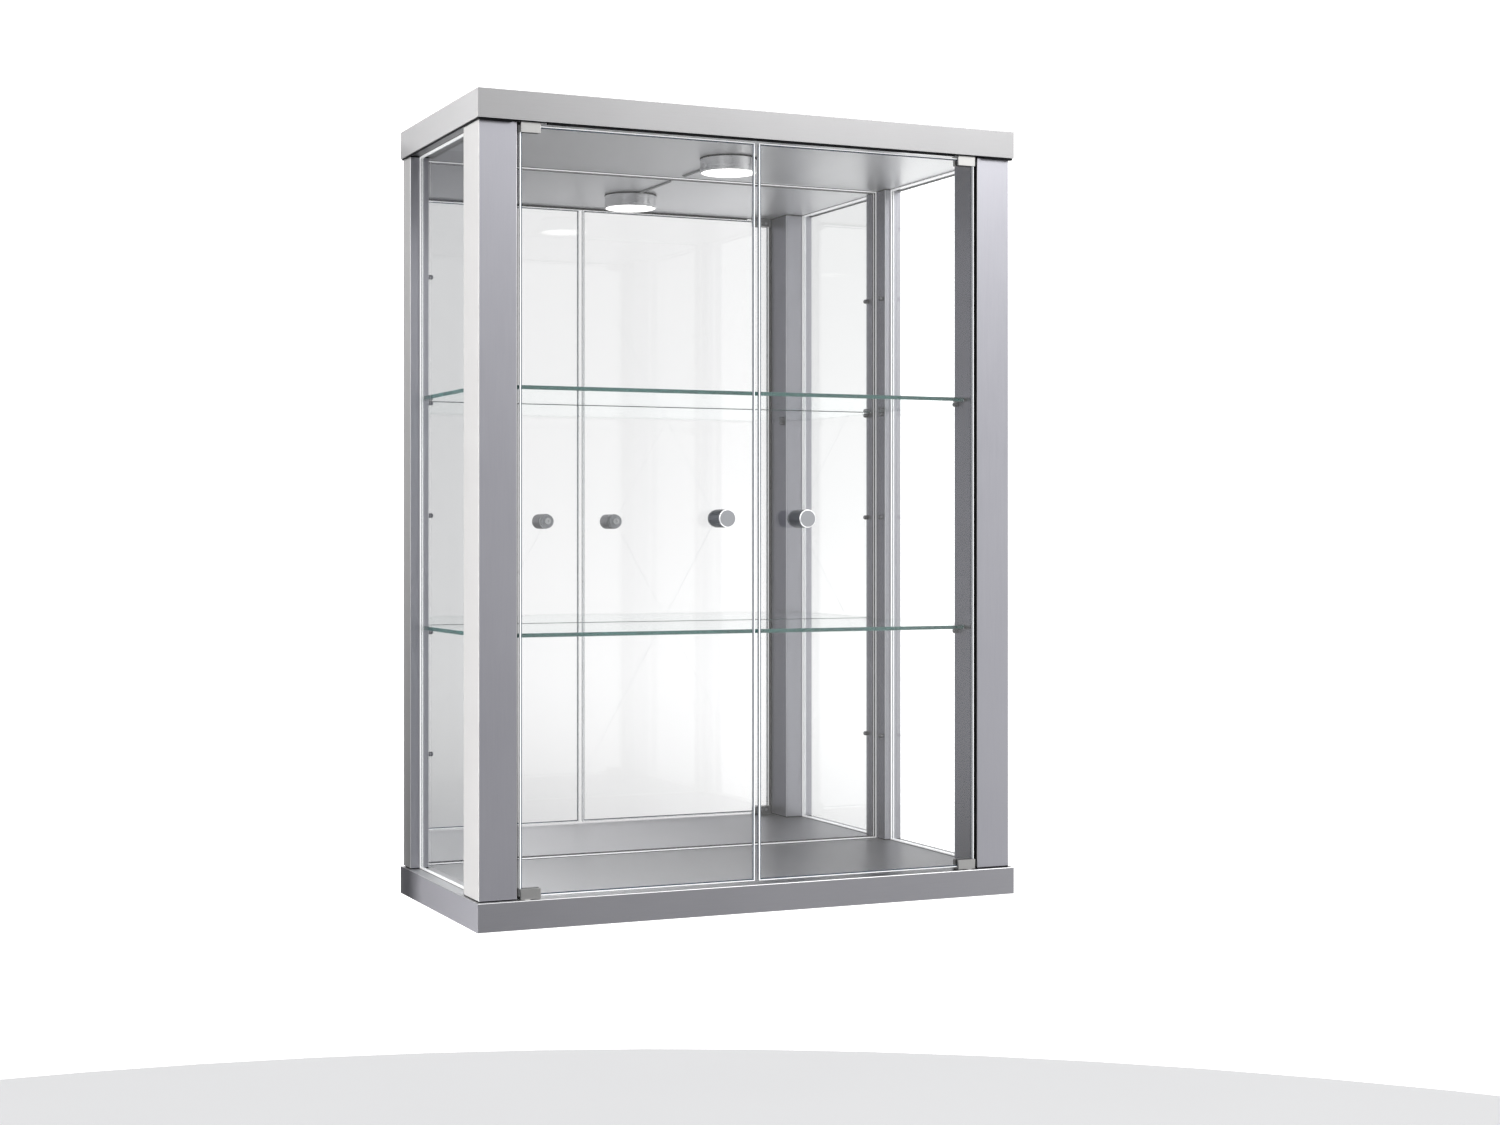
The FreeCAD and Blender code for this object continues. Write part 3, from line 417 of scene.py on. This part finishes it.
def soften(node, width, segments=2, gap=0.0):
    """Joins a node's split faces, draws it in by a hair where it touches others and breaks its sharp edges.

    Modifiers only, so the node's own mesh stays as packed.
    """
    obj = nodes[node]
    weld = obj.modifiers.new("weld", "WELD")
    weld.merge_threshold = WELD
    if gap:
        shrink = obj.modifiers.new("gap", "DISPLACE")
        shrink.strength = -gap
        shrink.mid_level = 0.0
    if width:
        bevel = obj.modifiers.new("bevel", "BEVEL")
        bevel.width = width
        bevel.segments = segments
        bevel.limit_method = "ANGLE"
        bevel.angle_limit = SHARP
        bevel.harden_normals = True
        bevel.use_clamp_overlap = True


for pane_node in ("side_glass_left", "side_glass_right", "door_glass_left", "door_glass_right"):
    soften(pane_node, 0.8 * MM, segments=1, gap=GLASS_GAP)
for shelf_node in ("shelf_lower", "shelf_upper"):
    soften(shelf_node, 0.4 * MM, segments=1, gap=GLASS_GAP)
soften("mirror", 0.0, gap=GLASS_GAP)
for foil_node in ("top_board", "bottom_board", "front_post_left", "front_post_right", "rear_post_left",
                  "rear_post_right"):
    soften(foil_node, 1.0 * MM, segments=3)
for clamp_node in ("hinge_clamp_top_left", "hinge_clamp_top_right", "hinge_clamp_bottom_left",
                   "hinge_clamp_bottom_right"):
    soften(clamp_node, 0.3 * MM)


# ---------------------------------------------------------------- pieces

def piece(name, body, material, build):
    """A new mesh made by build(bmesh), riding on a body."""
    mesh = bpy.data.meshes.new(name)
    shape = bmesh.new()
    build(shape)
    bmesh.ops.recalc_face_normals(shape, faces=shape.faces)
    shape.to_mesh(mesh)
    shape.free()
    obj = bpy.data.objects.new(name, mesh)
    bpy.context.scene.collection.objects.link(obj)
    mesh.materials.append(material)
    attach(obj, body)


def bars(*boxes):
    """Builds plain bars, each from its low and high corner in millimetres."""
    def build(shape):
        for low, high in boxes:
            corner = [[shape.verts.new((x * MM, y * MM, z * MM)) for z in (low[2], high[2])]
                      for x in (low[0], high[0]) for y in (low[1], high[1])]
            (a, b), (c, d), (e, f), (g, h) = corner
            for loop in ((a, b, d, c), (e, g, h, f), (a, e, f, b), (c, d, h, g), (a, c, g, e), (b, f, h, d)):
                shape.faces.new(loop)
    return build


# Places in millimetres, up to the camera. X is that of the right-hand side; the left mirrors it.
CEILING, BASE = -14.0, -758.0     # Z of the boards' faces inside
REAR_POST_IN, REAR_POST_FACE = 269.0, -26.0
FRONT_POST_IN, FRONT_POST_BACK, POST_OUT = 254.0, -206.0, 292.0
MIRROR_FACE = -6.0
PANE_OUT, PANE_IN = 281.0, 277.0
BEAD_INSET, MIRROR_BEAD, PANE_BEAD = 0.6, 1.3, 1.4     # how far beads lie in from the corner, and how wide
GAP_INSET, GAP, GAP_INSIDE = 0.02, 0.56, 0.7     # the same for the black bars of painted shade on both sides of a bead
OFF_MIRROR, OFF_PANE = 0.05, 0.1     # what stays clear between them and the glass behind
# White beads that glow a little: the beads' own polished white with a painted highlight on it.
PALE_BEAD_HIGHLIGHT = brushed("bead_polished_painted_highlight", (0.93, 0.935, 0.95), 0.18, metallic=0.6, strength=0.03, glow=0.4)
# Near-black for the bars, strips and rings that paint shade into joints, gaps and recesses.
SHADE_BLACK = moulded("painted_shade_black", (0.004, 0.004, 0.005), 0.8, gloss=0.1)
SIDES = ((-1, "left"), (1, "right"))


def mirror_run(y0, y1, inset, width):
    """Bars round the mirror's face."""
    low, high, side = BASE + inset, CEILING - inset, REAR_POST_IN - inset
    return (((-side, y0, high - width), (side, y1, high)), ((-side, y0, low), (side, y1, low + width)),
            ((-side, y0, low + width), (-side + width, y1, high - width)),
            ((side - width, y0, low + width), (side, y1, high - width)))


def pane_run(side, a, b, inset, width):
    """Bars round a side pane, between two distances from the middle of the showcase."""
    x0, x1 = sorted((side * a, side * b))
    y0, y1 = FRONT_POST_BACK + inset, REAR_POST_FACE - inset
    low, high = BASE + inset, CEILING - inset
    return (((x0, y0, high - width), (x1, y1, high)), ((x0, y0, low), (x1, y1, low + width)),
            ((x0, y0, low + width), (x1, y0 + width, high - width)),
            ((x0, y1 - width, low + width), (x1, y1, high - width)))


piece("mirror_bead", "cabinet", PALE_BEAD_HIGHLIGHT,
      bars(*mirror_run(MIRROR_FACE - 0.8, MIRROR_FACE - OFF_MIRROR, BEAD_INSET, MIRROR_BEAD)))
# Black bars of painted shade on both sides of the mirror's bead.
piece("mirror_bead_painted_shade", "cabinet", SHADE_BLACK,
      bars(*mirror_run(MIRROR_FACE - 0.5, MIRROR_FACE - OFF_MIRROR, GAP_INSET, GAP),
           *mirror_run(MIRROR_FACE - 0.4, MIRROR_FACE - OFF_MIRROR, BEAD_INSET + MIRROR_BEAD + GAP_INSET,
                       GAP_INSIDE)))

for side, word in SIDES:
    piece("glazing_bead_" + word, "cabinet", PALE_BEAD_HIGHLIGHT,
          bars(*pane_run(side, PANE_OUT + OFF_PANE, PANE_OUT + 1.1, BEAD_INSET, PANE_BEAD),
               *pane_run(side, PANE_IN - 1.1, PANE_IN - OFF_PANE, BEAD_INSET, PANE_BEAD)))
    # Black bars of painted shade beside the side pane's beads.
    piece("glazing_painted_shade_" + word, "cabinet", SHADE_BLACK,
          bars(*pane_run(side, PANE_OUT + OFF_PANE, PANE_OUT + 0.8, GAP_INSET, GAP),
               *pane_run(side, PANE_IN - 0.8, PANE_IN - OFF_PANE, GAP_INSET, GAP)))


def lamp_shade_ring(shape):
    """Dark ring of painted shade where the lamp meets the board."""
    low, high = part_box("lamp_housing")
    centre, radius, steps = (low + high) / 2, (high.x - low.x) / 2, 96
    outer, inner = radius + 0.25 * MM, radius - 0.4 * MM
    top, bottom = (CEILING - 0.02) * MM, (CEILING - 1.7) * MM
    rings = [[shape.verts.new((centre.x + r * math.cos(math.tau * i / steps),
                               centre.y + r * math.sin(math.tau * i / steps), z)) for i in range(steps)]
             for r, z in ((outer, top), (outer, bottom), (inner, bottom), (inner, top))]
    for a, b in zip(rings, rings[1:] + rings[:1]):
        for i in range(steps):
            shape.faces.new((a[i], a[(i + 1) % steps], b[(i + 1) % steps], b[i]))


piece("lamp_shade_ring", "cabinet", SHADE_BLACK, lamp_shade_ring)

LIP_FRONT, LIP_BACK, LIP_SIDE = -258.8, -254.4, 293.8     # the top board's overhang past the posts
CLAMPS_IN, CLAMPS_OUT = 224.0, 260.0     # the hinge clamps pass below the joint between these X
THIN, FULL, SIDE_FULL = CEILING - 0.4, CEILING - 1.9, CEILING - 1.2     # how low the strip of painted shadow hangs


def overhang():
    """Dark strip of painted shadow under the top board's overhang, thin where the hinge clamps pass below
    it.
    """
    top = CEILING - 0.02
    runs = [((-LIP_SIDE, LIP_FRONT, THIN), (LIP_SIDE, LIP_BACK, top)),
            ((-CLAMPS_IN, LIP_FRONT, FULL), (CLAMPS_IN, LIP_BACK, THIN))]
    for side, _ in SIDES:
        x0, x1 = sorted((side * CLAMPS_OUT, side * LIP_SIDE))
        edge0, edge1 = sorted((side * (LIP_SIDE - 1.5), side * LIP_SIDE))
        runs.append(((x0, LIP_FRONT, FULL), (x1, LIP_BACK, THIN)))
        runs.append(((edge0, LIP_BACK, SIDE_FULL), (edge1, -1.0, top)))
    return runs


piece("overhang_painted_shadow", "cabinet", SHADE_BLACK, bars(*overhang()))

BAR, BAR_HIGH, BAR_BACK = 1.18, 1.1, 0.3     # bars of painted shade in the posts' end recesses: width, height, setback
GROOVE_IN, GROOVE_OUT = 276.3, 281.7     # the side pane's groove, left free
COLLAR_FRONT, COLLAR_REAR = -253.7, -8.5
COLLAR_BACK, COLLAR_FACE = FRONT_POST_BACK - BAR_BACK, REAR_POST_FACE + BAR_BACK


def recess_shade_bars(side, inside, y0, y1, whole, split):
    """Dark bars of painted shade in the recesses at both ends of a post.

    whole and split list the Y of its cross bars; split ones leave the side pane's groove free.
    """
    inner, outer = inside + BAR_BACK, POST_OUT - BAR_BACK
    start, end = inner + BAR, outer - BAR
    spans = [(inner, start, y0, y1), (end, outer, y0, y1)]
    spans += [(start, end, y, y + BAR) for y in whole]
    spans += [(a, b, y, y + BAR) for y in split for a, b in ((start, GROOVE_IN), (GROOVE_OUT, end))]
    return [((min(side * a, side * b), c, low), (max(side * a, side * b), d, low + BAR_HIGH))
            for a, b, c, d in spans for low in (CEILING - BAR_HIGH - 0.05, BASE + 0.05)]


for side, word in SIDES:
    piece("post_recess_painted_shade_" + word, "cabinet", SHADE_BLACK,
          bars(*recess_shade_bars(side, FRONT_POST_IN, COLLAR_FRONT, COLLAR_BACK, [COLLAR_FRONT], [COLLAR_BACK - BAR]),
               *recess_shade_bars(side, REAR_POST_IN, COLLAR_FACE, COLLAR_REAR, [], [COLLAR_FACE])))
    # A black strip of painted shade in the gap between each door glass and its front post.
    x0, x1 = sorted((side * (FRONT_POST_IN - 0.8), side * (FRONT_POST_IN - 0.05)))
    piece("door_gap_painted_shade_" + word, "cabinet", SHADE_BLACK,
          bars(((x0, -253.6, BASE + 1.3), (x1, -247.0, CEILING - 1.3))))


# ---------------------------------------------------------------- camera, light and floor

scene = bpy.context.scene
camera = bpy.data.objects.new("camera", bpy.data.cameras.new("camera"))
scene.collection.objects.link(camera)
camera.location = (-0.9465, -2.2414, -0.4091)
camera.rotation_euler = (math.radians(90.0), 0.0, math.radians(-23.178))
camera.data.sensor_width = 36.0
camera.data.lens = 52.81
camera.data.shift_x = 0.0536
camera.data.shift_y = -0.0185
scene.camera = camera

world = bpy.data.worlds.new("studio")
scene.world = world
world.use_nodes = True
tree = world.node_tree
tree.nodes.clear()


def sky(tree):
    """Soft studio light: wide softboxes in front on the right and far left, darker between them and at the
    rear left, bright behind."""
    new, link = tree.nodes.new, tree.links.new
    direction = new("ShaderNodeTexCoord").outputs["Generated"]
    split = new("ShaderNodeSeparateXYZ")
    link(direction, split.inputs[0])
    x, y, z = split.outputs

    def total(first, *others):
        for other in others:
            first = calc("ADD", first, other)
        return first

    def calc(operation, a, b):
        node = new("ShaderNodeMath")
        node.operation = operation
        for socket, value in zip(node.inputs, (a, b)):
            if isinstance(value, bpy.types.NodeSocket):
                link(value, socket)
            else:
                socket.default_value = value
        return node.outputs[0]

    def ramp(value, low, high, to_low, to_high):
        node = new("ShaderNodeMapRange")
        node.interpolation_type = "SMOOTHSTEP"
        link(value, node.inputs["Value"])
        for key, number in (("From Min", low), ("From Max", high), ("To Min", to_low), ("To Max", to_high)):
            node.inputs[key].default_value = number
        return node.outputs[0]

    def lobe(towards, sharpness, strength):
        dot = new("ShaderNodeVectorMath")
        dot.operation = "DOT_PRODUCT"
        link(direction, dot.inputs[0])
        dot.inputs[1].default_value = Vector(towards).normalized()
        towards_it = calc("MAXIMUM", dot.outputs["Value"], 0.0)
        return calc("MULTIPLY", calc("POWER", towards_it, sharpness), strength)

    # Degrees from straight in front of the showcase, positive towards its right.
    ahead = calc("MULTIPLY", calc("ARCTAN2", x, calc("MULTIPLY", y, -1.0)), 180.0 / math.pi)
    sideways = total(ramp(ahead, 3.0, 17.0, 0.36, 0.95), ramp(ahead, 32.0, 52.0, 0.0, 1.2),
                     ramp(ahead, -30.0, -10.0, 0.55, 0.0))
    upright = total(ramp(z, -0.25, -0.05, 0.12, 0.96), ramp(z, 0.14, 0.5, 0.0, 0.4))
    front = total(calc("MULTIPLY", sideways, upright), lobe(*LOW_RIGHT), ramp(z, -0.75, -0.45, 1.1, 0.0))
    rear = total(ramp(z, -0.55, -0.16, 0.45, 1.0), lobe(*BACKDROP))
    rear = calc("MULTIPLY", rear, ramp(x, -0.30, -0.04, 0.30, 1.0))
    share = ramp(y, -0.35, 0.15, 0.0, 1.0)
    light = total(calc("MULTIPLY", rear, share), calc("MULTIPLY", front, calc("SUBTRACT", 1.0, share)))
    back = new("ShaderNodeBackground")
    tint = new("ShaderNodeMix")
    tint.data_type = "RGBA"
    link(ramp(light, 0.15, 0.90, 0.0, 1.0), tint.inputs[0])
    tint.inputs[6].default_value = (0.90, 0.905, 1.0, 1.0)
    tint.inputs[7].default_value = (1.0, 0.997, 0.992, 1.0)
    link(tint.outputs[2], back.inputs["Color"])
    link(light, back.inputs["Strength"])
    link(back.outputs[0], new("ShaderNodeOutputWorld").inputs["Surface"])


# Softboxes: where each stands, how narrow it is and how bright.
BACKDROP = ((0.40, 0.91, -0.10), 8.0, 0.80)
LOW_RIGHT = ((0.62, -0.72, -0.30), 24.0, 1.15)    # lights the ceiling by way of the mirror
sky(tree)


def lamp(name, place, aim, size, power, colour):
    """Area light that neither the camera nor anything seen through glass meets."""
    data = bpy.data.lights.new(name, "AREA")
    data.shape = "RECTANGLE"
    data.size, data.size_y = size
    data.energy = power
    data.color = colour
    obj = bpy.data.objects.new(name, data)
    obj.location = place
    obj.rotation_euler = (Vector(aim) - Vector(place)).to_track_quat("-Z", "Y").to_euler()
    obj.visible_camera = obj.visible_transmission = False
    scene.collection.objects.link(obj)


lamp("key_high_right", (1.6, -2.4, 1.0), (0.1, -0.2, -0.1), (1.9, 0.9), 26.0, (1.0, 0.99, 0.98))
lamp("rim_left_rear", (-1.8, 1.5, -0.35), (-0.3, -0.13, -0.38), (0.9, 3.2), 88.0, (1.0, 0.99, 0.975))


def staged(name, corners, material):
    """A flat piece of the studio, through the given corners in metres."""
    mesh = bpy.data.meshes.new(name)
    shape = bmesh.new()
    shape.faces.new([shape.verts.new(corner) for corner in corners])
    shape.to_mesh(mesh)
    shape.free()
    mesh.materials.append(material)
    obj = bpy.data.objects.new(name, mesh)
    scene.collection.objects.link(obj)
    return obj


FLOOR_Z, FLOOR_R, FLOOR_STEPS = -2.8, 7.8, 96
g = Graph("floor_pale")
floor_tone = g.blend(g.noise(0.6), (0.70, 0.704, 0.712), (0.74, 0.744, 0.752))
turns = [math.tau * i / FLOOR_STEPS for i in range(FLOOR_STEPS)]
floor = staged("floor", [(FLOOR_R * math.cos(turn), FLOOR_R * math.sin(turn), FLOOR_Z) for turn in turns],
               g.done(g.principled(Base_Color=floor_tone, Roughness=0.8)))
floor.visible_glossy = False

# The wall's shadow beside the rear post, as the satin faces reflect it: a dark card that only
# reflections meet, fainter towards its top.
CARD_NEAR, CARD_FAR, CARD_Y, CARD_FOOT = -0.297, -0.345, 0.004, -0.82
g = Graph("shade_card")
shadow = g.add("Emission", {"Color": (0.05, 0.05, 0.055), "Strength": 1.0}).outputs[0]
cover = g.spread(g.place()[Z], -0.72, -0.10, 0.85, 0.30)
card = staged("shade_card", ((CARD_NEAR, CARD_Y, CARD_FOOT), (CARD_FAR, CARD_Y, CARD_FOOT),
                             (CARD_FAR, CARD_Y, 0.0), (CARD_NEAR, CARD_Y, 0.0)),
              g.done(g.mix(cover, g.add("BsdfTransparent").outputs[0], shadow)))
card.visible_camera = card.visible_diffuse = card.visible_transmission = False

scene.view_settings.view_transform = "Standard"
scene.view_settings.look = "None"
scene.cycles.max_bounces = 32
scene.cycles.transparent_max_bounces = 48
scene.cycles.glossy_bounces = 16
scene.cycles.transmission_bounces = 28
